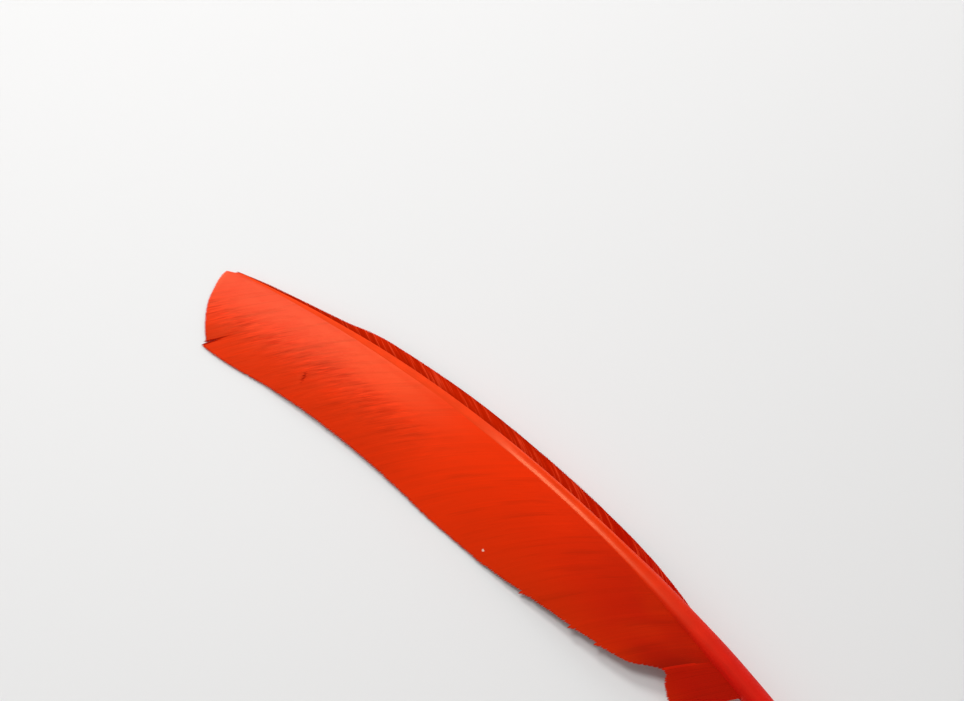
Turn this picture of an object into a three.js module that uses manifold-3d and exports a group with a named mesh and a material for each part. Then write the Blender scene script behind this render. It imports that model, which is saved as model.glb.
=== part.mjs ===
// Turkey wing feather: one quill with a broad and a narrow vane, grown as one piece.
// Units are millimetres. +X runs from the quill's root to the feather's tip, +Y is the side
// of the broad vane, +Z is up. The feather lies with its arched back up.
import * as THREE from 'three';
import { ParametricGeometry } from 'three/addons/geometries/ParametricGeometry.js';
import { mergeVertices } from 'three/addons/utils/BufferGeometryUtils.js';
import Module from 'manifold-3d';

const wasm = await Module();
wasm.setup();

// ---- Driving dimensions ----

const LENGTH = 285;           // quill's root to the end of the line the shaft follows, along X
const SHAFT_END = 283;        // the shaft stops short of it, between the last barbs
const BOW = 15.8;             // how far the shaft's line swings out to -Y
const BOW_POWER = 2.5;        // 2 would put the widest swing at mid length, more puts it later
const ARCH = 9.5;             // rise of the shaft's middle line above its ends
const ROOT_HEIGHT = 1.6;      // middle line above the surface at the quill's root
const TIP_HEIGHT = 0.5;       // and at the tip

// Shaft, full width and full depth at stations along it.
const SHAFT_WIDTH = [
  [0, 0], [1.5, 2.8], [8, 4.6], [30, 6.6], [72, 7.7], [100, 6.2], [130, 5.0],
  [175, 4.3], [215, 3.6], [245, 2.4], [268, 1.3], [281, 0.8], [SHAFT_END, 0],
];
const SHAFT_DEPTH = [
  [0, 0], [1.5, 2.8], [8, 4.4], [30, 6.2], [72, 7.0], [100, 6.4], [130, 5.6],
  [175, 4.4], [215, 3.3], [245, 2.2], [268, 1.3], [281, 0.9], [SHAFT_END, 0],
];
const SHAFT_ROWS = 44;        // rows of faces along the shaft
const SHAFT_SIDES = 16;       // faces round it
const QUILL_END = 72;         // bare round quill up to here, squarer shaft with a groove beyond
const SQUARENESS = 3.3;       // exponent of the shaft's cross-section, 2 is an ellipse
const GROOVE = 0.3;           // depth of the groove below the shaft, as a share of its half depth

// Both vanes: thin sheets that fall away from the shaft to the surface.
const SHEET = 0.6;            // thickness
const EDGE_HEIGHT = 0.45;     // middle of a full-width sheet's edge above the surface
// Height above the shaft's middle at which the sheets leave it, as a share of its half depth.
const ROOT_RISE = [[67, 0.4], [95, 0.6], [130, 0.85], [281, 0.85]];
const ROW_LOCKS = 3;          // rows of faces in one lock of barbs
const LOCK_RIDGE = 0.16;      // how far a lock's middle stands above the seams beside it
const LOCK_POINT = 0.25;      // how far a lock's middle sticks out at the edge
const LOCK_RAGGED = 0.25;     // how much the locks differ in length

// A vane is a row of barbs. Lengths and angles are given by where the barb leaves the shaft.
const BROAD_VANE = {
  side: 1,
  first: 64.8,                // first and last barb, along the shaft
  last: 281,
  locks: 44,
  steps: 8,                   // faces along a barb
  reach: 32.6,                // distance from the shaft at which the sheet meets the surface
  fall: 1.9,                  // 1 falls straight, more keeps it level first and drops it later
  bend: 9 / 45,               // degrees a barb turns away from the shaft per mm of its length
  lengths: [                  // a split in the vane is a dip: one near its foot, one near its tip
    [64.6, 7], [65.6, 18], [68.4, 23.2], [73, 21.3], [77, 18.8], [82, 26], [90, 30.8], [108, 38],
    [126, 43.8], [150, 46.3], [200, 45.2], [225, 45], [245.3, 42.4], [247, 35.5], [248.7, 38.6], [252, 36.4],
    [258, 31.4], [270, 19.6], [281, 5],
  ],
  angles: [
    [67, 60], [90, 50], [106, 46], [132, 41], [168, 37], [210, 36], [250, 38], [272, 35], [281, 12],
  ],
};
const NARROW_VANE = {
  side: -1,
  first: 86,
  last: 281,
  locks: 30,
  steps: 5,
  reach: 8.8,
  fall: 2.1,
  bend: 0,
  lengths: [
    [86, 3], [96, 7], [106, 11.5], [118, 15], [134, 16.6], [168, 16.6], [196, 13.4], [218, 11],
    [236, 5.8], [258, 3.2], [281, 2],
  ],
  angles: [[86, 40], [120, 34], [200, 31], [265, 28], [281, 10]],
};

// ---- Smooth values between stations ----

// Monotone cubic through [place, value] pairs: it never overshoots the values given.
function between(stations, place) {
  const last = stations.length - 1;
  const slope = (i) => (stations[i + 1][1] - stations[i][1]) / (stations[i + 1][0] - stations[i][0]);
  const tangent = (i) => {
    if (i === 0 || i === last) return slope(Math.min(i, last - 1));
    const before = slope(i - 1);
    const after = slope(i);
    return before * after > 0 ? (2 * before * after) / (before + after) : 0;
  };
  const next = stations.findIndex(([at]) => at >= place);
  const i = next < 0 ? last - 1 : Math.max(next - 1, 0);
  const span = stations[i + 1][0] - stations[i][0];
  const t = THREE.MathUtils.clamp((place - stations[i][0]) / span, 0, 1);
  return stations[i][1] * (1 + 2 * t) * (1 - t) ** 2
    + span * tangent(i) * t * (1 - t) ** 2
    + stations[i + 1][1] * t * t * (3 - 2 * t)
    + span * tangent(i + 1) * t * t * (t - 1);
}

// ---- The shaft's middle line ----

// The bow is y = -BOW (u - u^p) / peak, where peak is the largest value of u - u^p.
const BOW_PLACE = (1 / BOW_POWER) ** (1 / (BOW_POWER - 1));
const BOW_PEAK = BOW_PLACE - BOW_PLACE ** BOW_POWER;

function lineY(s) {
  const u = Math.max(s / LENGTH, 0);
  return -BOW * (u - u ** BOW_POWER) / BOW_PEAK;
}

// Direction across the shaft, level, towards +Y.
function across(s) {
  const u = Math.max(s / LENGTH, 0);
  const slope = -BOW * (1 - BOW_POWER * u ** (BOW_POWER - 1)) / BOW_PEAK / LENGTH;
  return new THREE.Vector2(-slope, 1).normalize();
}

function lineHeight(s) {
  const u = THREE.MathUtils.clamp(s / LENGTH, 0, 1);
  return THREE.MathUtils.lerp(ROOT_HEIGHT, TIP_HEIGHT, u) + ARCH * Math.sin(Math.PI * u);
}

// A point beside the shaft: offset level across it, height above the surface.
function beside(s, offset, height, target) {
  const normal = across(s);
  return target.set(s + normal.x * offset, lineY(s) + normal.y * offset, height);
}

// ---- Shaft ----

// Superellipse cross-section, round on the quill and squarer beyond it, with a groove below.
// Rows crowd towards both ends, where the shaft closes to a point.
function shaftSurface(u, v, target) {
  const s = SHAFT_END * (0.5 - 0.5 * Math.cos(Math.PI * u));
  const beyondQuill = THREE.MathUtils.smoothstep(s, QUILL_END, QUILL_END + 40);
  const power = 2 / THREE.MathUtils.lerp(2, SQUARENESS, beyondQuill);
  const turn = 2 * Math.PI * v;
  const sideways = Math.sin(turn);
  const upward = Math.cos(turn);
  const offset = Math.sign(sideways) * Math.abs(sideways) ** power * between(SHAFT_WIDTH, s) / 2;
  const groove = upward < 0 ? 1 - GROOVE * beyondQuill * Math.exp(-((sideways / 0.25) ** 2)) : 1;
  const rise = Math.sign(upward) * Math.abs(upward) ** power * groove * between(SHAFT_DEPTH, s) / 2;
  beside(s, offset, lineHeight(s) + rise, target);
}

// ---- Vanes ----

// A barb's path seen from above is an arc of a circle that starts at its root on the shaft.
function barbPlace(vane, root, length) {
  const start = THREE.MathUtils.degToRad(between(vane.angles, root));
  const bend = THREE.MathUtils.degToRad(vane.bend);
  if (bend === 0) return { s: root + length * Math.cos(start), offset: length * Math.sin(start) };
  const end = start + bend * length;
  return {
    s: root + (Math.sin(end) - Math.sin(start)) / bend,
    offset: (Math.cos(start) - Math.cos(end)) / bend,
  };
}

// Middle of the sheet: it leaves the shaft level and falls by a power of the offset.
function sheetHeight(vane, s, offset) {
  const stem = between(SHAFT_DEPTH, Math.min(s, SHAFT_END - 2)) / 2;
  const top = lineHeight(s) + between(ROOT_RISE, s) * stem;
  const share = Math.min(offset / vane.reach, 1);
  return {
    height: EDGE_HEIGHT + (top - EDGE_HEIGHT) * (1 - share ** vane.fall),
    slope: -(top - EDGE_HEIGHT) * vane.fall * share ** (vane.fall - 1) / vane.reach,
  };
}

// Closed skin of a sheet. u runs along the roots; v runs out along one face, over the edge
// and back along the other. The first and last barb have no thickness, which closes the ends.
function sheetSurface(vane) {
  const turns = 2 * vane.steps + 2;
  return (u, v, target) => {
    const row = Math.round(v * turns) % turns;
    const returning = row > vane.steps;
    const share = (returning ? turns - 1 - row : row) / vane.steps;
    const root = THREE.MathUtils.lerp(vane.first, vane.last, u);
    const lock = u * vane.locks;
    const swell = -Math.cos(2 * Math.PI * lock) * Math.min(1, 12 * u, 12 * (1 - u));
    const ragged = Math.sin(12.9 * Math.floor(lock)) * LOCK_RAGGED;
    const length = between(vane.lengths, root) + (swell * LOCK_POINT + ragged) * (1 - u);
    const place = barbPlace(vane, root, length * share);
    const { height, slope } = sheetHeight(vane, place.s, place.offset);
    const stem = between(SHAFT_DEPTH, root) / 2;
    const isEnd = u < 1e-4 || u > 1 - 1e-4;
    const half = isEnd ? 0 : Math.min(SHEET, stem) / 2;
    const face = returning === (vane.side > 0) ? -half : half;
    const tilt = Math.atan(slope);
    const lift = height + face * Math.cos(tilt) + swell * share * LOCK_RIDGE;
    const offset = place.offset - face * Math.sin(tilt);
    beside(place.s, vane.side * offset, lift, target);
  };
}

// ---- Joining ----

// A closed body from a parametric surface; faces that collapse at poles and seams are dropped.
function body(surface, columns, rows) {
  const raw = new ParametricGeometry(surface, columns, rows);
  raw.deleteAttribute('normal');
  raw.deleteAttribute('uv');
  const skin = mergeVertices(raw, 1e-4);
  const index = skin.index.array;
  const kept = [];
  for (let i = 0; i < index.length; i += 3) {
    const [a, b, c] = index.slice(i, i + 3);
    if (a !== b && b !== c && c !== a) kept.push(a, b, c);
  }
  return new wasm.Manifold(new wasm.Mesh({
    numProp: 3,
    vertProperties: new Float32Array(skin.attributes.position.array),
    triVerts: new Uint32Array(kept),
  }));
}

function geometryOf(solid) {
  const mesh = solid.getMesh();
  const geometry = new THREE.BufferGeometry();
  geometry.setAttribute('position', new THREE.BufferAttribute(new Float32Array(mesh.vertProperties), 3));
  geometry.setIndex(new THREE.BufferAttribute(new Uint32Array(mesh.triVerts), 1));
  return geometry;
}

const shaft = body(shaftSurface, SHAFT_ROWS, SHAFT_SIDES);
const vanes = [BROAD_VANE, NARROW_VANE].map(
  (vane) => body(sheetSurface(vane), vane.locks * ROW_LOCKS, 2 * vane.steps + 2),
);
const geometry = geometryOf(vanes.reduce((whole, vane) => whole.add(vane), shaft));

// The frame's origin is the middle of the bounding box, on the surface below it.
geometry.computeBoundingBox();
const { min, max } = geometry.boundingBox;
geometry.translate(-(min.x + max.x) / 2, -(min.y + max.y) / 2, -min.z);
geometry.computeVertexNormals();

const dyedKeratin = new THREE.MeshStandardMaterial({ color: 0xd8320f, roughness: 0.55, metalness: 0 });
const feather = new THREE.Mesh(geometry, dyedKeratin);
feather.name = 'feather';

const part = new THREE.Group();
part.add(feather);

export default part;
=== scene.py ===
"""Turkey wing feather: shaft, broad vane and narrow vane, each barb modelled, on a pale floor.

Lengths in the formulas are millimetres along the feather's own line: s runs along the shaft from
the quill's root, offset runs level to one side of it, height is above the floor.
"""
import math

import bpy
import numpy as np
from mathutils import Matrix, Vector


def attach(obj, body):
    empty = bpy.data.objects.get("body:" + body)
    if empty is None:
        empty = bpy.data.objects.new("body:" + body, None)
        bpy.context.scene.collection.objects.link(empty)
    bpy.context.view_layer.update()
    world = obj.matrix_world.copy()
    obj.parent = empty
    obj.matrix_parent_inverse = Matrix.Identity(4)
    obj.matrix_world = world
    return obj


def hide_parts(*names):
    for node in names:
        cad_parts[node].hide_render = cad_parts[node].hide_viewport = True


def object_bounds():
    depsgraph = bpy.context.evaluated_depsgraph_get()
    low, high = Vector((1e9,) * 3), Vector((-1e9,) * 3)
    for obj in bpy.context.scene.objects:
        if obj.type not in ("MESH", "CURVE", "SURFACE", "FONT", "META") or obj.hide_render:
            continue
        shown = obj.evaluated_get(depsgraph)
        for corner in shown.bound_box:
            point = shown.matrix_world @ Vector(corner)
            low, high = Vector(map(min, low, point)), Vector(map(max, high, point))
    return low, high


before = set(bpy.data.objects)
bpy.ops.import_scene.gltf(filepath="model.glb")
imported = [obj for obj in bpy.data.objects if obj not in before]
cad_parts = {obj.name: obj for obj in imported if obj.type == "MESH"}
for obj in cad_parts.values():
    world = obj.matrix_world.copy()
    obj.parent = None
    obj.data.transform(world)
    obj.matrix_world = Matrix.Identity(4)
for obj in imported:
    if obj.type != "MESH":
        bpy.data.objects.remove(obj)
CAD_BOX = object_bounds()

bl_info = {
    "name": "Turkey Wing Feather",
    "version": (1, 0, 0),
    "blender": (4, 5, 0),
    "location": "3D View > Sidebar > Feather",
    "description": "Makes a dyed turkey wing feather barb by barb, and the floor it lies on",
    "category": "Add Mesh",
}

MM = 0.001
SEED = 11

# ---- The feather's form, the same values as in the solid's source ----

LENGTH = 285.0
SHAFT_END = 283.0
BOW = 15.8
BOW_POWER = 2.5
ARCH = 9.5
ROOT_HEIGHT = 1.6
TIP_HEIGHT = 0.5
QUILL_END = 72.0
SQUARENESS = 3.3
GROOVE = 0.3
EDGE_HEIGHT = 0.45
ROOT_RISE = [(67, 0.4), (95, 0.6), (130, 0.85), (281, 0.85)]
# What the solid's source moves the whole feather by, to bring its box over the origin.
ORIGIN = (CAD_BOX[0][0] / MM, -0.182, -0.149)

SHAFT_WIDTH = [
    (0, 0), (1.5, 2.8), (8, 4.6), (30, 6.6), (72, 7.7), (100, 6.2), (130, 5.0),
    (175, 4.3), (215, 3.6), (245, 2.4), (268, 1.3), (281, 0.8), (283, 0),
]
SHAFT_DEPTH = [
    (0, 0), (1.5, 2.8), (8, 4.4), (30, 6.2), (72, 7.0), (100, 6.4), (130, 5.6),
    (175, 4.4), (215, 3.3), (245, 2.2), (268, 1.3), (281, 0.9), (283, 0),
]
BROAD = {
    "side": 1, "first": 64.8, "last": 281.0, "reach": 32.6, "fall": 1.9, "bend": 9 / 45,
    "shoulder": [(100, 0.88), (180, 0.88), (200, 0.93), (281, 0.93)],
    "lengths": [
        (64.6, 7), (65.6, 18), (68.4, 23.2), (73, 21.3), (77, 18.8), (82, 26), (90, 30.8), (108, 38),
        (126, 43.8), (150, 46.3), (200, 45.2), (225, 45), (246.5, 42.4), (247.3, 40.2), (252, 36.4),
        (258, 31.4), (270, 19.6), (281, 5),
    ],
    "angles": [
        (67, 60), (90, 50), (106, 46), (132, 41), (168, 37), (210, 36), (250, 38), (272, 35), (281, 12),
    ],
}
NARROW = {
    "side": -1, "first": 86.0, "last": 281.0, "reach": 8.8, "fall": 2.1, "bend": 1e-4,
    "shoulder": [(86, 0.85), (281, 0.85)],
    "lengths": [
        (86, 3), (96, 7), (106, 11.5), (118, 15), (134, 16.6), (168, 16.6), (196, 13.4), (218, 11),
        (236, 5.8), (258, 3.2), (281, 2),
    ],
    "angles": [(86, 40), (120, 34), (200, 31), (265, 28), (281, 10)],
}

# Splits in the broad vane: root of the barbs that part, share of their length at which they begin to, how
# far they part at the edge, how far the neighbours give way, lift of the lip on the tip's side (negative: on
# the quill's), length of the tuft that ends the barbs before it, depth of the painted shade over the barbs
# behind it (which also paints the last barb before it lighter, a painted highlight), and darkness of the
# painted shade along the line where they part.
SPLITS = [
    (78.0, 0.35, 0.35, 4.0, -0.6, 0.0, 1.0, 0.0),
    (89.5, 0.93, 0.5, 2.0, 0.1, 1.3, 0.0, 0.0),
    (96.5, 0.95, 0.5, 2.0, 0.1, 1.5, 0.0, 0.0),
    (110.5, 0.95, 0.6, 3.0, 0.1, 1.3, 0.0, 0.0),
    (152.0, 0.97, 0.3, 2.0, 0.0, 0.5, 0.0, 0.0),
    (224.0, 0.96, 0.4, 3.0, 0.0, 0.4, 0.0, 0.0),
    (247.0, 0.78, 0.6, 5.0, 0.1, 0.0, 0.5, 1.0),
]
BROAD["splits"] = SPLITS
NARROW["splits"] = []
# A small crack across barbs of the broad vane, and a speck of dust on it: s, offset.
CRACK = (240.2, 20.3)
SPECK = (154.4, 28.2)

# Slow swellings of the quill: their height as a share of its thickness, and their length.
SWELL = (0.012, 9)
# The scar under the quill: its place, half its length, half its width as a share of the quill's,
# and its depth as a share of the quill's half.
SCAR = (69, 2.2, 0.22, 0.16)
# From where to where the shaft's shoulder is planed flat: it starts, is full, is still full, ends.
PLANED = (95, 125, 190, 215)
# The same of the ripples in the last third, along the shaft and out from it.
RIPPLED_ALONG = (195, 225, 268, 280)
RIPPLED_OUT = (1.5, 6, 22, 29)
# Between these places along the shaft the barbs turn from uneven to even.
EVEN_FROM, EVEN_AT = 225, 250
# The lowest that the middle of a barb lies.
BARB_HEIGHT = 0.32
# Section of a barb: across it in shares of the gap to the next one, up in shares of the ridge.
SECTION = [(-0.62, -0.35), (-0.2, 0.45), (0.0, 1.0), (0.2, 0.6), (0.72, 0.15), (0.0, -2.5)]

# ---- The view ----

# Which way the camera looks over the floor, counted from x towards y, and how steeply down, in degrees.
HEADING = -45.93
ELEVATION = 65
# The point of the floor under the feather that it looks at, along x and y.
TARGET = (203.2, -37.5)


# ---- Values along the feather ----

def between(stations, place):
    """Monotone cubic through (place, value) stations: harmonic mean slopes, flat at turning points."""
    at, value = np.array(stations, dtype=float).T
    place = np.asarray(place, dtype=float)
    slope = np.diff(value) / np.diff(at)
    tangent = np.empty(len(at))
    tangent[0], tangent[-1] = slope[0], slope[-1]
    before, after = slope[:-1], slope[1:]
    total = np.where(before + after == 0, 1, before + after)
    tangent[1:-1] = np.where(before * after > 0, 2 * before * after / total, 0)
    i = np.clip(np.searchsorted(at, place) - 1, 0, len(at) - 2)
    span = at[i + 1] - at[i]
    t = np.clip((place - at[i]) / span, 0, 1)
    return (
        value[i] * (1 + 2 * t) * (1 - t) ** 2
        + span * tangent[i] * t * (1 - t) ** 2
        + value[i + 1] * t * t * (3 - 2 * t)
        + span * tangent[i + 1] * t * t * (t - 1)
    )


def smooth(low, high, x):
    """0 below low, 1 above high, an S-shaped rise between them."""
    t = np.clip((np.asarray(x, dtype=float) - low) / (high - low), 0, 1)
    return t * t * (3 - 2 * t)


def within(places, x):
    """Rises from 0 to 1 between the first two places and falls back to 0 between the last two."""
    return smooth(places[0], places[1], x) * (1 - smooth(places[2], places[3], x))


def wander(x, y, seed):
    """Smooth noise from -1 to 1: random heights on a unit grid, blended with an S-curve."""
    grid = np.random.default_rng(seed).uniform(-1, 1, (64, 64))
    x, y = np.broadcast_arrays(np.asarray(x, dtype=float), np.asarray(y, dtype=float))
    column, row = np.floor(x).astype(int), np.floor(y).astype(int)
    u, v = smooth(0, 1, x - column), smooth(0, 1, y - row)

    def corner(i, j):
        return grid[(column + i) % 64, (row + j) % 64]

    near = corner(0, 0) * (1 - u) + corner(1, 0) * u
    far = corner(0, 1) * (1 - u) + corner(1, 1) * u
    return near * (1 - v) + far * v


BOW_PLACE = (1 / BOW_POWER) ** (1 / (BOW_POWER - 1))
BOW_PEAK = BOW_PLACE - BOW_PLACE**BOW_POWER


def beside(s, offset, height):
    """Points at a level offset from the shaft's line y = -BOW (u - u^p) / peak, u = s / LENGTH."""
    u = np.maximum(s / LENGTH, 0)
    y = -BOW * (u - u**BOW_POWER) / BOW_PEAK
    slope = -BOW * (1 - BOW_POWER * u ** (BOW_POWER - 1)) / BOW_PEAK / LENGTH
    norm = np.sqrt(1 + slope**2)
    return np.stack([s - slope / norm * offset, y + offset / norm, height + 0 * s], axis=-1)


def line_height(s):
    """The shaft's line rises from its ends as half a sine wave."""
    u = np.clip(s / LENGTH, 0, 1)
    return ROOT_HEIGHT + (TIP_HEIGHT - ROOT_HEIGHT) * u + ARCH * np.sin(np.pi * u)


def sheet(vane, s, offset):
    """Height of a vane: level with the shaft's top edge over its shoulder, then falling by a power
    of the offset."""
    stem = between(SHAFT_DEPTH, np.minimum(s, SHAFT_END - 2)) / 2
    top = line_height(s) + between(ROOT_RISE, s) * stem
    share = np.clip(offset / vane["reach"], 0, 1)
    fallen = EDGE_HEIGHT + (top - EDGE_HEIGHT) * (1 - share ** vane["fall"])
    level = line_height(s) + between(vane["shoulder"], s) * stem
    shoulder = np.maximum(between(SHAFT_WIDTH, s) / 2, 0.3)
    held = (1 - smooth(0.8, 1.9, offset / shoulder)) * smooth(88, 130, s)
    return fallen + np.maximum(level - fallen, 0) * held


def barb_place(vane, root, reach):
    """Seen from above a barb is an arc of a circle that starts at its root on the shaft."""
    start = np.radians(between(vane["angles"], root))
    bend = math.radians(vane["bend"])
    end = start + bend * reach
    return root + (np.sin(end) - np.sin(start)) / bend, (np.cos(start) - np.cos(end)) / bend


# ---- Meshes ----

def mesh_object(name, points, faces, values, uv=None, sides=1, sharp=()):
    """A smooth-shaded mesh of quads. points are millimetres on the feather's own line; values are
    numbers per vertex, kept as attributes; uv is one pair per vertex. Edges that run along the
    sharp ones of a section's sides stay sharp."""
    mesh = bpy.data.meshes.new(name)
    place = (points.reshape(-1, 3) + np.array(ORIGIN)) * MM
    faces = faces.reshape(-1, 4)
    mesh.vertices.add(len(place))
    mesh.vertices.foreach_set("co", place.ravel())
    mesh.loops.add(faces.size)
    mesh.loops.foreach_set("vertex_index", faces.ravel())
    mesh.polygons.add(len(faces))
    mesh.polygons.foreach_set("loop_start", np.arange(0, faces.size, 4))
    mesh.polygons.foreach_set("use_smooth", np.ones(len(faces), dtype=bool))
    mesh.update(calc_edges=True)
    if len(sharp):
        ends = np.empty(len(mesh.edges) * 2, dtype=np.int32)
        mesh.edges.foreach_get("vertices", ends)
        side = ends.reshape(-1, 2) % sides
        kept = (side[:, 0] == side[:, 1]) & np.isin(side[:, 0], sharp)
        mesh.attributes.new("sharp_edge", "BOOLEAN", "EDGE").data.foreach_set("value", kept)
    for key, value in values.items():
        mesh.attributes.new(key, "FLOAT", "POINT").data.foreach_set("value", value.ravel())
    if uv is not None:
        mesh.uv_layers.new(name="surface").data.foreach_set("uv", uv.reshape(-1, 2)[faces.ravel()].ravel())
    made = bpy.data.objects.new(name, mesh)
    bpy.context.scene.collection.objects.link(made)
    return made


def tube_faces(rows, sides):
    """Quads of a grid of rows that is closed round its sides."""
    row, side = np.meshgrid(np.arange(rows - 1), np.arange(sides), indexing="ij")
    here, there = row * sides + side, row * sides + (side + 1) % sides
    return np.stack([here, here + sides, there + sides, there], axis=-1)


def settle(made, material):
    """Gives a piece its finish and hangs it on the frame in place of the solid."""
    made.data.materials.append(material)
    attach(made, "root")
    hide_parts("feather")


def shaft_piece():
    """Superellipses along the shaft's line: round quill, squarer shaft with a groove below it and
    its shoulder beside the broad vane planed a little flat. Slow noise swells the quill; the rows
    crowd towards both closed ends."""
    rows, sides = 520, 56
    u = (np.arange(rows) + 0.5) / rows
    s = (SHAFT_END * (0.5 - 0.5 * np.cos(np.pi * u)))[:, None]
    turn = (2 * np.pi * np.arange(sides) / sides)[None, :]
    beyond = smooth(QUILL_END, QUILL_END + 40, s)
    power = 2 / (2 + (SQUARENESS - 2) * beyond)
    sideways, upward = np.sin(turn), np.cos(turn)
    swell = 1 + SWELL[0] * wander(s / SWELL[1], turn * 0 + 0.5, SEED) * (1 - beyond)
    half_width = between(SHAFT_WIDTH, s) / 2 * swell
    half_depth = between(SHAFT_DEPTH, s) / 2 * swell
    groove = 1 - GROOVE * beyond * np.exp(-((sideways / 0.25) ** 2)) * (upward < 0)
    place, scar_length, scar_width, depth = SCAR
    scar = np.exp(-(((s - place) / scar_length) ** 2) - ((sideways / scar_width) ** 2))
    scar = 1 - depth * scar * (upward < 0)
    out = np.sign(sideways) * np.abs(sideways) ** power
    up = np.sign(upward) * np.abs(upward) ** power * groove * scar
    planed = np.maximum(up - 0.995 + 0.17 * (out - 0.2), 0) * (out > 0) * within(PLANED, s)
    height = line_height(s) + (up - planed) * half_depth
    points = beside(s + 0 * turn, out * half_width, height)
    values = {
        "along": s / LENGTH + 0 * turn,
        "upward": upward + 0 * s,
        "sideways": sideways + 0 * s,
    }
    faces = tube_faces(rows, sides).reshape(-1, 4)
    half = sides // 2
    i = np.arange(half - 1)
    root_cap = np.stack([i, i + 1, (sides - 2 - i) % sides, (sides - 1 - i) % sides], axis=-1)
    faces = np.concatenate([faces, root_cap, (root_cap + (rows - 1) * sides)[:, ::-1]])
    return mesh_object("shaft", points, faces, values)


def wear(root):
    """How uneven the barbs are: fully up to the last third, hardly at the tip."""
    return 1 - 0.85 * smooth(EVEN_FROM, EVEN_AT, root)


def barb_lengths(vane, look, root, seed, rng):
    """The vane's lengths, made uneven lock by lock and barb by barb, and drawn out into a small
    tuft before some splits."""
    length = between(vane["lengths"], root)
    length = length + 0.2 * wear(root) * wander(root / 3.1, 0.5, seed + 1) * smooth(3, 14, length)
    length = length + wear(root) * rng.normal(0, look.fringe, root.shape) * smooth(2, 12, length)
    for place, *_, tuft, _, _ in vane["splits"]:
        length = length + np.where(root < place, tuft, 0) * np.exp(-np.abs(root - place) / 1.1)
    return length


def parting(vane, root, share, step):
    """What the splits do to the barbs beside them: how far these lean apart, how far they lift, how deep the
    painted shade over them is (negative: a painted highlight on the last barb before a split) and how dark
    the painted shade line between them is. It fades with the distance."""
    lean, lift, shade, line = np.zeros((4, len(root), share.shape[1]))
    for place, start, opening, give, lip, _, depth, dark in vane["splits"]:
        opened = smooth(start, 1, share)
        before = root < place
        near = np.exp(-np.abs(root - place) / give)
        lean = lean + np.where(before, -0.5, 0.5) * opening * opened * near
        lift = lift + abs(lip) * (before == (lip < 0)) * opened * near
        behind = np.where(before, -1.0 * (place - root < step), near)
        shade = shade + depth * behind * smooth(start - 0.3, start + 0.2, share)
        seam = 0.35 * smooth(start - 0.2, start, share) + 0.65 * smooth(start, start + 0.12, share)
        line = line + dark * seam * np.exp(-(((root - place) / 0.55) ** 2))
    return lean, lift, shade, line


def crack_mask(vane, s, offset):
    """1 along the middle of the broad vane's small crack, falling to 0 round it as a bell curve."""
    down = offset - CRACK[1]
    return np.exp(-(((s - CRACK[0] + 0.2 * down) / 0.62) ** 2) - (down / 2.5) ** 2) * (vane is BROAD)


def waves(look, root, reach, s, offset, seed):
    """Height of the ripples that run along the barbs, stronger in the last third before the tip, and
    of a slow swell under them."""
    ripple = wander(root / 1.9, reach / 9.0, seed + 3) + 0.5 * wander(root / 0.9, reach / 5.0, seed + 4)
    strength = 0.12 + 0.88 * within(RIPPLED_ALONG, s) * within(RIPPLED_OUT, offset)
    swell = 0.25 * wander(root / 17.0, reach / 19.0, seed + 5) * smooth(4, 12, offset)
    return look.ripple * ripple * strength * smooth(1, 4, offset) + swell


def barb_frame(vane, s, offset, height):
    """Middle line of each barb, the direction across it and the one up from the sheet. The sheet's
    slope is a difference over a tenth of a millimetre."""
    side = vane["side"]
    centre = beside(s, side * offset, height)
    along = np.gradient(centre, axis=1)
    along /= np.linalg.norm(along, axis=2, keepdims=True)
    tilt = np.arctan((sheet(vane, s, offset + 0.05) - sheet(vane, s, offset - 0.05)) / 0.1)
    level = beside(s, side * (offset + 1), height) - centre
    up = -np.sin(tilt)[..., None] * level + np.cos(tilt)[..., None] * np.array([0, 0, 1.0])
    up -= (up * along).sum(axis=2, keepdims=True) * along
    up /= np.linalg.norm(up, axis=2, keepdims=True)
    return centre, np.cross(along, up) * -side, up


def blade_faces(count, steps, sides):
    """Quads of a row of blades, each a tube of six-sided section with both ends closed."""
    cap = np.array([[0, 1, 2, 3], [0, 3, 4, 5]])
    far_cap = (cap + (steps - 1) * sides)[:, ::-1]
    blade = np.concatenate([tube_faces(steps, sides).reshape(-1, 4), cap, far_cap])
    return (np.arange(count)[:, None, None] * steps * sides + blade[None]).reshape(-1, 4)


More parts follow.
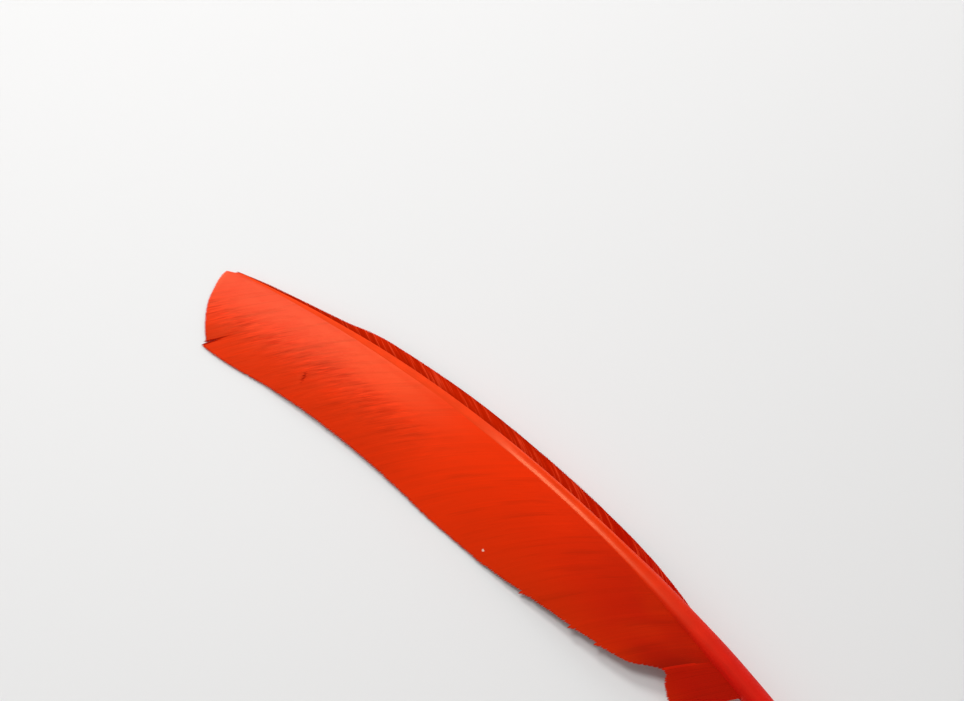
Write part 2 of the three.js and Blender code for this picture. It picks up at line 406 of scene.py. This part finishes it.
def vane_piece(name, vane, look, steps, seed):
    """A row of barbs. Each is a closed blade of six-sided section that follows its arc over the
    sheet, wide enough to lie over its neighbour, ridged along its middle and drawn out at its tip."""
    rng = np.random.default_rng(seed)
    side = vane["side"]
    count = int((vane["last"] - vane["first"]) / look.spacing)
    step = (vane["last"] - vane["first"]) / count
    index = np.arange(count)[:, None]
    root = vane["first"] + (index + 0.5 + rng.uniform(-0.12, 0.12, (count, 1))) * step
    length = barb_lengths(vane, look, root, seed, rng)
    share = ((np.arange(steps) / (steps - 1)) ** 0.92)[None, :]
    reach = length * share

    # Locks of barbs lean a little, and the barbs beside a split lean apart.
    s, offset = barb_place(vane, root, reach)
    next_s, next_offset = barb_place(vane, root + step, reach)
    advance = next_s - s
    lean, lift, shade, line = parting(vane, root, share, step)
    lock = wander(root / 5.3, share * 1.5, seed + 2)
    s = s + look.lean * wear(root) * smooth(0.25, 1, share) * lock + lean

    crack = crack_mask(vane, s, offset)
    bare = sheet(vane, s, offset)
    height = bare + waves(look, root, reach, s, offset, seed) + lift - 0.3 * crack
    height = height + rng.normal(0, 0.008, (count, 1)) * smooth(0, 0.3, share)
    height = np.maximum(height, BARB_HEIGHT)
    centre, cross, up = barb_frame(vane, s, offset, height)

    # Distance to the next barb, square to this one along the sheet.
    next_s = s + advance
    next_height = height + sheet(vane, next_s, next_offset) - bare
    toward = beside(next_s, side * next_offset, next_height) - centre
    gap = np.clip(np.abs((toward * cross).sum(axis=2)), 0.12, 1.3)
    point = np.sqrt(np.clip((length - reach) / np.minimum(look.point, 0.5 * length), 0.004, 1))
    width = gap * point
    ridge = look.ridge * smooth(0, 0.05, share) * (0.35 + 0.65 * point)

    # The narrow vane mirrors the section, so it goes round the other way to keep facing outwards.
    section = np.array(SECTION if side > 0 else SECTION[::-1])
    across, rise = section.T
    points = (
        centre[:, :, None, :]
        + cross[:, :, None, :] * (width[:, :, None] * across)[..., None]
        + up[:, :, None, :] * (ridge[:, :, None] * rise)[..., None]
    )

    def spread(value):
        return np.ascontiguousarray(np.broadcast_to(value, points.shape[:3]))

    tone = 0.5 + 0.25 * wander(root / 2.3, 0.5, seed + 6) + rng.normal(0, 0.16, (count, 1))
    values = {
        "along": spread((s / LENGTH)[..., None]),
        "outward": spread((offset / 30.0)[..., None]),
        "tone": spread(np.clip(tone, 0, 1)[..., None]),
        # The crack and the split lines, which the finish darkens as painted shade.
        "crack": spread(np.maximum(0.68 * crack, line)[..., None]),
        # Painted shade behind splits; negative on the lip barb, which is painted lighter.
        "shade": spread(shade[..., None]),
        "barbule": spread(reach[..., None] / 0.16 - np.abs(across) * 1.6),
        # The crests, which the finish paints a little lighter as painted light.
        "crest": spread((rise > 0.9) * 1.0),
        "top": spread((rise > -1) * 1.0),
    }
    across_row = (index[..., None] + 0.5 + 0.5 * across) / count
    uv = np.stack([spread((reach / 50.0)[..., None]), spread(across_row)], axis=-1)
    faces = blade_faces(count, steps, len(section))
    return mesh_object(name, points, faces, values, uv, len(section), np.flatnonzero(np.abs(across) > 0.5))


def speck_place():
    """The speck's point on the broad vane, in metres."""
    height = sheet(BROAD, np.array(SPECK[0]), np.array(SPECK[1]))
    return tuple((beside(np.array(SPECK[0]), SPECK[1], height) + np.array(ORIGIN)) * MM)


# ---- Finishes ----

class Term:
    """A number or colour on its way through a material: arithmetic on it adds Math nodes."""

    def __init__(self, finish, socket):
        self.finish, self.socket = finish, socket

    def math(self, operation, other):
        return self.finish.node("ShaderNodeMath", {"operation": operation}, {0: self, 1: other})

    def __add__(self, other):
        return self.math("ADD", other)

    def __mul__(self, other):
        return self.math("MULTIPLY", other)

    def __sub__(self, other):
        return self.math("SUBTRACT", other)

    def __rsub__(self, other):
        return self.finish.node("ShaderNodeMath", {"operation": "SUBTRACT"}, {0: other, 1: self})

    __radd__ = __add__
    __rmul__ = __mul__

    def clamp(self):
        """No less than 0 and no more than 1."""
        return self.finish.node("ShaderNodeClamp", {}, {"Value": self})

    def rise(self, low, high):
        """0 below low, 1 above high, smooth between."""
        settings = {"interpolation_type": "SMOOTHSTEP"}
        inputs = {"Value": self, "From Min": low, "From Max": high}
        return self.finish.node("ShaderNodeMapRange", settings, inputs)


class Finish:
    """The nodes of a material or a world. Every node but the output comes from node()."""

    def __init__(self, owner):
        self.owner = owner
        owner.use_nodes = True
        self.tree = owner.node_tree
        self.tree.nodes.clear()

    def node(self, kind, settings=None, inputs=None, output=0):
        """A node of this kind. Its settings come first, then the values or links of its inputs."""
        made = self.tree.nodes.new(kind)
        for key, value in (settings or {}).items():
            setattr(made, key, value)
        for key, value in (inputs or {}).items():
            if isinstance(value, Term):
                self.tree.links.new(value.socket, made.inputs[key])
            elif isinstance(value, (tuple, list)) and len(made.inputs[key].default_value) == 4:
                made.inputs[key].default_value = (*value[:3], 1)
            else:
                made.inputs[key].default_value = value
        return Term(self, made.outputs[output])

    def value(self, name):
        """A number kept on the mesh."""
        return self.node("ShaderNodeAttribute", {"attribute_name": name}, output="Fac")

    def mix(self, factor, a, b, blend="MIX"):
        """Colour a where the factor is 0, b where it is 1, or one blended onto the other."""
        settings = {"data_type": "RGBA", "blend_type": blend}
        return self.node("ShaderNodeMix", settings, {0: factor, 6: a, 7: b}, output=2)

    def shade(self, colour, factor):
        """colour times a number."""
        grey = self.node("ShaderNodeCombineColor", {}, {"Red": factor, "Green": factor, "Blue": factor})
        return self.mix(1.0, colour, grey, "MULTIPLY")

    def noise(self, vector, scale, detail):
        inputs = {"Vector": vector, "Scale": scale, "Detail": detail}
        return self.node("ShaderNodeTexNoise", {}, inputs)

    def stretch(self, vector, scale):
        """The same place counted in other steps, so that a pattern on it comes out stretched."""
        return self.node("ShaderNodeMapping", {}, {"Vector": vector, "Scale": scale})

    def surface(self, settings, bump=None, distance=0.0001):
        """Ends a material: its surface, with the bump's height in metres."""
        inputs = dict(settings)
        if bump is not None:
            relief = {"Height": bump, "Strength": 1.0, "Distance": distance}
            inputs["Normal"] = self.node("ShaderNodeBump", {}, relief)
        self.end(self.node("ShaderNodeBsdfPrincipled", {}, inputs), "ShaderNodeOutputMaterial")

    def end(self, shader, kind):
        made = self.tree.nodes.new(kind)
        self.tree.links.new(shader.socket, made.inputs["Surface"])


def speck_mask(finish):
    """1 on the speck of dust: a ball round its place with a rough rim, on the barbs' top side only."""
    place = finish.node("ShaderNodeTexCoord", output="Object")
    inputs = {0: place, 1: speck_place()}
    metres = finish.node("ShaderNodeVectorMath", {"operation": "DISTANCE"}, inputs, "Value")
    grain = finish.noise(place, 2600.0, 1.0)
    ball = 1.0 - (metres * 1000.0 + (grain - 0.5) * 0.5).rise(0.28, 0.5)
    return ball * finish.value("top").rise(0.9, 1.0)


def vane_finish(name, look, broad):
    """Dyed barbs: deeper towards the foot, partly painted shade, and lighter in a band at the edge, in soft
    patches; salmon beside the shaft near the tip, partly painted sheen; the narrow vane darker with painted
    shade; each barb and lock its own tone, crests painted lighter as painted light, painted shade in lines
    where barbs part, in creases, beside the shaft, behind splits and in the crack, painted gleams between
    the creases, and a chevron of barbules as bump."""
    finish = Finish(bpy.data.materials.new(name))
    along, outward = finish.value("along"), finish.value("outward")
    tone, crest = finish.value("tone"), finish.value("crest")
    surface = finish.node("ShaderNodeUVMap", {"uv_map": "surface"})

    def drawn(length, width, detail=2.0):
        """Noise drawn out along the barbs, more cells the larger the numbers."""
        return finish.noise(finish.stretch(surface, (length, width, 1.0)), 1.0, detail)

    patch, streak, strand = drawn(1.6, 9.0), drawn(4.0, 110.0, 3.0), drawn(1.9, 170.0)
    # Painted shade: thin random lines where barbs part.
    line = drawn(1.6, 60.0).rise(0.54, 0.72)

    # The narrow vane is darker red: partly its dye, partly painted shade.
    middle = look.dye[:] if broad else look.narrow_dye_and_shade[:]
    # Deeper red towards the foot: partly the dye, partly painted shade.
    colour = finish.mix(along.rise(0.22, 0.66), look.foot_dye_and_shade[:], middle)
    if broad:
        # Salmon beside the shaft near the tip: partly the dye, partly painted sheen.
        colour = finish.mix(along.rise(0.62, 0.92) * (1.0 - outward.rise(0.1, 0.8)), colour, look.tip_dye_and_sheen[:])
        # Lighter and more orange in a band along the edge near the quill, and in patches of the same colour
        # there.
        band = outward.rise(0.4, 1.0) * (1.0 - along.rise(0.4, 0.75))
        colour = finish.mix(band * 0.8, colour, look.edge_band_colour[:])
        warm = patch.rise(0.46, 0.62) * (1.0 - along.rise(0.3, 0.55))
        colour = finish.mix(warm * 0.45, colour, look.edge_band_colour[:])

    # Creases painted as shade and gleams painted as light between them lie in a band along the middle of the
    # last third, with streaks there of painted light and shade.
    toward_tip = along.rise(0.60, 0.78)
    creased = toward_tip * outward.rise(0.22, 0.5) * (1.0 - outward.rise(0.5, 0.8) * 0.8)
    crease = drawn(5.5, 250.0).rise(0.46, 0.64) * creased
    gleam = drawn(7.0, 300.0).rise(0.52, 0.68) * creased
    # Painted light: each barb's crest a little lighter than its sides.
    level = 0.97 + tone * 0.07 + crest * 0.02
    level = level + ((streak - 0.5) * 0.12 if broad else (strand - 0.5) * 0.8)
    level = level + (patch - 0.5) * (0.42 - along * 0.35) - line * 0.12 - crease * 0.12
    level = level + gleam * 0.18 + (streak - 0.5) * creased * 0.6
    if broad:
        # Painted shade: the broad vane darker next to the shaft in the foot half.
        level = level - (1.0 - outward.rise(0.0, 1.0)) * (1.0 - along.rise(0.36, 0.5)) * 0.12
        # Painted shade over the barbs behind the splits, and a painted highlight on the lip barb just before
        # them.
        shade = finish.value("shade")
        level = level - shade.clamp() * 0.32 + (shade * -1.0).clamp() * 0.2
        # Painted shade: the outer part of the last third darker, where the vane slopes away from the light.
        level = level - toward_tip * outward.rise(0.2, 0.9) * 0.16
    else:
        # Painted shade: the narrow vane darker next to the shaft.
        level = level * (0.7 + outward.rise(0.0, 0.16) * 0.3)
        colour = finish.mix(strand.rise(0.53, 0.64) * 0.75, colour, look.strand_dye[:])
    colour = finish.shade(colour, level)

    sheen = 1.0 - outward.rise(0.15, 1.1) * 0.7
    rough = 0.82 - along.rise(0.56, 0.78) * 0.50 * sheen + crease * 0.25 + (streak - 0.5) * 0.1
    if broad:
        # Painted shade in the tip's split and along the crack.
        cleft = finish.value("crack").rise(0.15, 0.6)
        rough = rough + cleft * 0.5
        colour = finish.mix(cleft * 0.85, colour, look.cleft_painted_shade[:])
        colour = finish.mix(speck_mask(finish), colour, look.speck[:])
    turns = finish.value("barbule") * (2 * math.pi)
    barbules = finish.node("ShaderNodeMath", {"operation": "SINE"}, {0: turns})
    finish.surface(
        {
            "Base Color": colour,
            "Roughness": rough,
            "Specular IOR Level": look.shine if broad else 0.0,
            "Specular Tint": (1.0, 0.38, 0.12),
        },
        bump=barbules + drawn(160.0, 900.0) * 2.0,
        distance=0.000002,
    )
    return finish.owner


def shaft_finish(name, look):
    """Dyed keratin: smooth and glossy, with fine lengthwise scratches; the quill is deeper, and the
    underside is darker with painted shade.
    """
    finish = Finish(bpy.data.materials.new(name))
    along, upward = finish.value("along"), finish.value("upward")
    place = {"X": along, "Y": finish.value("sideways"), "Z": upward}
    surface = finish.node("ShaderNodeCombineXYZ", {}, place)
    colour = finish.mix(along.rise(0.24, 0.5), look.quill_dye[:], look.dye[:])
    colour = finish.mix(along.rise(0.6, 0.95), colour, look.tip_dye_and_sheen[:])
    streak = finish.noise(finish.stretch(surface, (30.0, 4.0, 4.0)), 1.0, 4.0)
    mottle = finish.noise(finish.stretch(surface, (60.0, 0.7, 0.7)), 1.0, 3.0)
    # Painted shade: the underside darker.
    under = (0.0 - upward).rise(0.2, 0.9)
    level = 0.9 + (streak - 0.5) * 0.22 + (mottle - 0.5) * 0.25 - under * 0.12
    finish.surface(
        {
            "Base Color": finish.shade(colour, level),
            "Roughness": 0.58 - along.rise(0.30, 0.44) * 0.34 + under * 0.1 + along.rise(0.57, 0.66) * 0.45,
            "Specular IOR Level": 0.45,
            "Specular Tint": (1.0, 0.46, 0.24),
        },
        bump=streak,
        distance=0.00003,
    )
    return finish.owner


# ---- Settings ----

def dye(name, description, default):
    """A colour that a user may change."""
    return bpy.props.FloatVectorProperty(
        name=name, description=description, subtype="COLOR", size=3, min=0, max=1, default=default
    )


class FEATHER_PG_shaft(bpy.types.PropertyGroup):
    dye: dye("Dye", "Colour of the shaft between the vanes", (0.92, 0.040, 0.001))
    quill_dye: dye("Quill dye", "Colour of the bare quill", (0.74, 0.002, 0.0003))
    # On the shaft this colour is the dye alone.
    tip_dye_and_sheen: dye("Tip dye", "Colour of the shaft near the tip", (0.95, 0.047, 0.001))


class FEATHER_PG_vanes(bpy.types.PropertyGroup):
    dye: dye("Dye", "Colour of the vanes at mid length", (0.85, 0.026, 0.0002))
    # Near the quill: the dye and painted shade.
    foot_dye_and_shade: dye("Foot dye", "Colour of the vanes near the quill", (0.47, 0.001, 0.0002))
    # Lighter and more orange along the edge near the quill.
    edge_band_colour: dye(
        "Edge dye", "Colour of the band along the broad vane's edge near the quill", (0.66, 0.023, 0.0004)
    )
    # Darker: the dye and painted shade.
    narrow_dye_and_shade: dye("Narrow dye", "Colour of the narrow vane", (0.52, 0.014, 0.0006))
    # Beside the shaft near the tip: the dye and painted sheen.
    tip_dye_and_sheen: dye("Tip dye", "Colour of the broad vane beside the shaft near the tip", (0.82, 0.050, 0.023))
    strand_dye: dye("Strand dye", "Colour of the light strands in the narrow vane", (0.66, 0.045, 0.012))
    # Painted shade in the split and the crack.
    cleft_painted_shade: dye("Cleft dye", "Colour in the tip's split and in the crack", (0.30, 0.0, 0.0))
    speck: dye("Speck", "Colour of the speck of dust on the broad vane", (0.95, 0.62, 0.50))
    spacing: bpy.props.FloatProperty(
        name="Barb spacing", description="Distance between barbs along the shaft, in mm", default=0.62,
        min=0.3, max=2,
    )
    ridge: bpy.props.FloatProperty(
        name="Ridge", description="Height of the ridge along a barb, in mm", default=0.013, min=0, max=0.3
    )
    ripple: bpy.props.FloatProperty(
        name="Ripple", description="Height of the ripples in the vanes, in mm", default=0.09, min=0, max=0.6
    )
    lean: bpy.props.FloatProperty(
        name="Lean", description="How far locks of barbs lean at the edge, in mm", default=0.35, min=0, max=3
    )
    point: bpy.props.FloatProperty(
        name="Point", description="Length of the point that ends a barb, in mm", default=1.0, min=0.2, max=5
    )
    fringe: bpy.props.FloatProperty(
        name="Fringe", description="How unevenly the barbs end, in mm", default=0.05, min=0, max=1
    )
    shine: bpy.props.FloatProperty(
        name="Shine", description="Strength of the broad vane's soft shine", subtype="FACTOR",
        default=0.42, min=0, max=1,
    )


class FEATHER_PG_stage(bpy.types.PropertyGroup):
    floor: dye("Floor", "Colour of the floor", (0.80, 0.795, 0.79))
    lens: bpy.props.FloatProperty(
        name="Lens", description="Focal length of the camera, in mm", default=60, min=20, max=200
    )
    distance: bpy.props.FloatProperty(
        name="Distance", description="Camera to the point it looks at", subtype="DISTANCE",
        unit="LENGTH", default=0.53,
    )
    key: bpy.props.FloatProperty(
        name="Key light", description="Power of the main soft light", subtype="POWER", unit="POWER",
        default=4.6, min=0,
    )
    fill: bpy.props.FloatProperty(
        name="Sky", description="Brightness of the even light from all round", default=0.30, min=0
    )


# ---- Operators ----

class FEATHER_OT_shaft(bpy.types.Operator):
    """Make the quill and shaft"""

    bl_idname = "feather.shaft"
    bl_label = "Shaft"

    def execute(self, context):
        settle(shaft_piece(), shaft_finish("shaft_keratin", context.scene.feather_shaft))
        return {"FINISHED"}


class FEATHER_OT_vanes(bpy.types.Operator):
    """Make the broad and the narrow vane, barb by barb"""

    bl_idname = "feather.vanes"
    bl_label = "Vanes"

    def execute(self, context):
        look = context.scene.feather_vanes
        broad, narrow = vane_finish("broad_barbs", look, True), vane_finish("narrow_barbs", look, False)
        settle(vane_piece("broad_vane", BROAD, look, 38, SEED), broad)
        settle(vane_piece("narrow_vane", NARROW, look, 20, SEED + 20), narrow)
        return {"FINISHED"}


class FEATHER_OT_stage(bpy.types.Operator):
    """Make the floor, the lights and the camera"""

    bl_idname = "feather.stage"
    bl_label = "Stage"

    def execute(self, context):
        look = context.scene.feather_stage
        scene = context.scene
        mesh = bpy.data.meshes.new("floor")
        half = 6.0
        corners = [(-half, -half, 0), (half, -half, 0), (half, half, 0), (-half, half, 0)]
        mesh.from_pydata(corners, [], [(0, 1, 2, 3)])
        floor = bpy.data.objects.new("floor", mesh)
        floor.location.z = -0.1 * MM
        scene.collection.objects.link(floor)
        finish = Finish(bpy.data.materials.new("floor_paper"))
        finish.surface({"Base Color": look.floor[:], "Roughness": 0.7})
        mesh.materials.append(finish.owner)

        # Directions on the floor as the camera sees it: to its right, and away from it.
        heading, elevation = math.radians(HEADING), math.radians(ELEVATION)
        away = Vector((math.cos(heading), math.sin(heading), 0))
        right = Vector((math.sin(heading), -math.cos(heading), 0))
        target = Vector((TARGET[0] + ORIGIN[0], TARGET[1] + ORIGIN[1], 0)) * MM
        back = Vector((0, 0, 1)) * math.sin(elevation) - away * math.cos(elevation)

        camera = bpy.data.cameras.new("camera")
        camera.lens = look.lens
        camera.sensor_width = 36
        camera.clip_start, camera.clip_end = 0.01, 20
        viewer = bpy.data.objects.new("camera", camera)
        viewer.location = target + back * look.distance
        viewer.rotation_euler = (-back).to_track_quat("-Z", "Y").to_euler()
        scene.collection.objects.link(viewer)
        scene.camera = viewer

        def lamp(name, direction, distance, size, power):
            light = bpy.data.lights.new(name, "AREA")
            light.shape, light.size, light.energy = "DISK", size, power
            made = bpy.data.objects.new(name, light)
            direction = direction.normalized()
            made.location = target + direction * distance
            made.rotation_euler = direction.to_track_quat("Z", "Y").to_euler()
            scene.collection.objects.link(made)

        lamp("key", away * 0.56 - right * 0.22 + Vector((0, 0, 0.80)), 1.1, 0.34, look.key)
        lamp("window", away * 0.74 + right * 0.52 + Vector((0, 0, 0.42)), 1.2, 1.1, look.key * 0.95)
        lamp("wall", away * 0.1 - right * 0.80 + Vector((0, 0, 0.55)), 1.2, 1.1, look.key * 0.45)
        lamp("above", away * 0.14 - right * 0.225 + Vector((0, 0, 0.965)), 1.3, 0.38, look.key * 1.2)
        # An even sky, darker towards the horizon.
        sky = Finish(bpy.data.worlds.new("soft_sky"))
        direction = sky.node("ShaderNodeTexCoord", output="Generated")
        upward = sky.node("ShaderNodeSeparateXYZ", {}, {"Vector": direction}, "Z").rise(-0.1, 0.8)
        strength = (upward * 0.8 + 0.2) * look.fill
        shader = sky.node("ShaderNodeBackground", {}, {"Color": (1, 1, 1), "Strength": strength})
        sky.end(shader, "ShaderNodeOutputWorld")
        scene.world = sky.owner
        scene.view_settings.view_transform = "Standard"
        return {"FINISHED"}


class FEATHER_PT_panel(bpy.types.Panel):
    """Lists the pieces and their settings"""

    bl_label = "Feather"
    bl_idname = "FEATHER_PT_panel"
    bl_space_type = "VIEW_3D"
    bl_region_type = "UI"
    bl_category = "Feather"

    def draw(self, context):
        layout = self.layout
        for operator, group in (
            ("feather.shaft", context.scene.feather_shaft),
            ("feather.vanes", context.scene.feather_vanes),
            ("feather.stage", context.scene.feather_stage),
        ):
            box = layout.box()
            box.operator(operator)
            for key in group.__annotations__:
                box.prop(group, key)


CLASSES = (
    FEATHER_PG_shaft,
    FEATHER_PG_vanes,
    FEATHER_PG_stage,
    FEATHER_OT_shaft,
    FEATHER_OT_vanes,
    FEATHER_OT_stage,
    FEATHER_PT_panel,
)


def register():
    for cls in CLASSES:
        bpy.utils.register_class(cls)
    bpy.types.Scene.feather_shaft = bpy.props.PointerProperty(type=FEATHER_PG_shaft)
    bpy.types.Scene.feather_vanes = bpy.props.PointerProperty(type=FEATHER_PG_vanes)
    bpy.types.Scene.feather_stage = bpy.props.PointerProperty(type=FEATHER_PG_stage)


def unregister():
    del bpy.types.Scene.feather_stage
    del bpy.types.Scene.feather_vanes
    del bpy.types.Scene.feather_shaft
    for cls in reversed(CLASSES):
        bpy.utils.unregister_class(cls)


def main():
    register()
    bpy.ops.feather.shaft()
    bpy.ops.feather.vanes()
    bpy.ops.feather.stage()


if __name__ == "__main__":
    main()
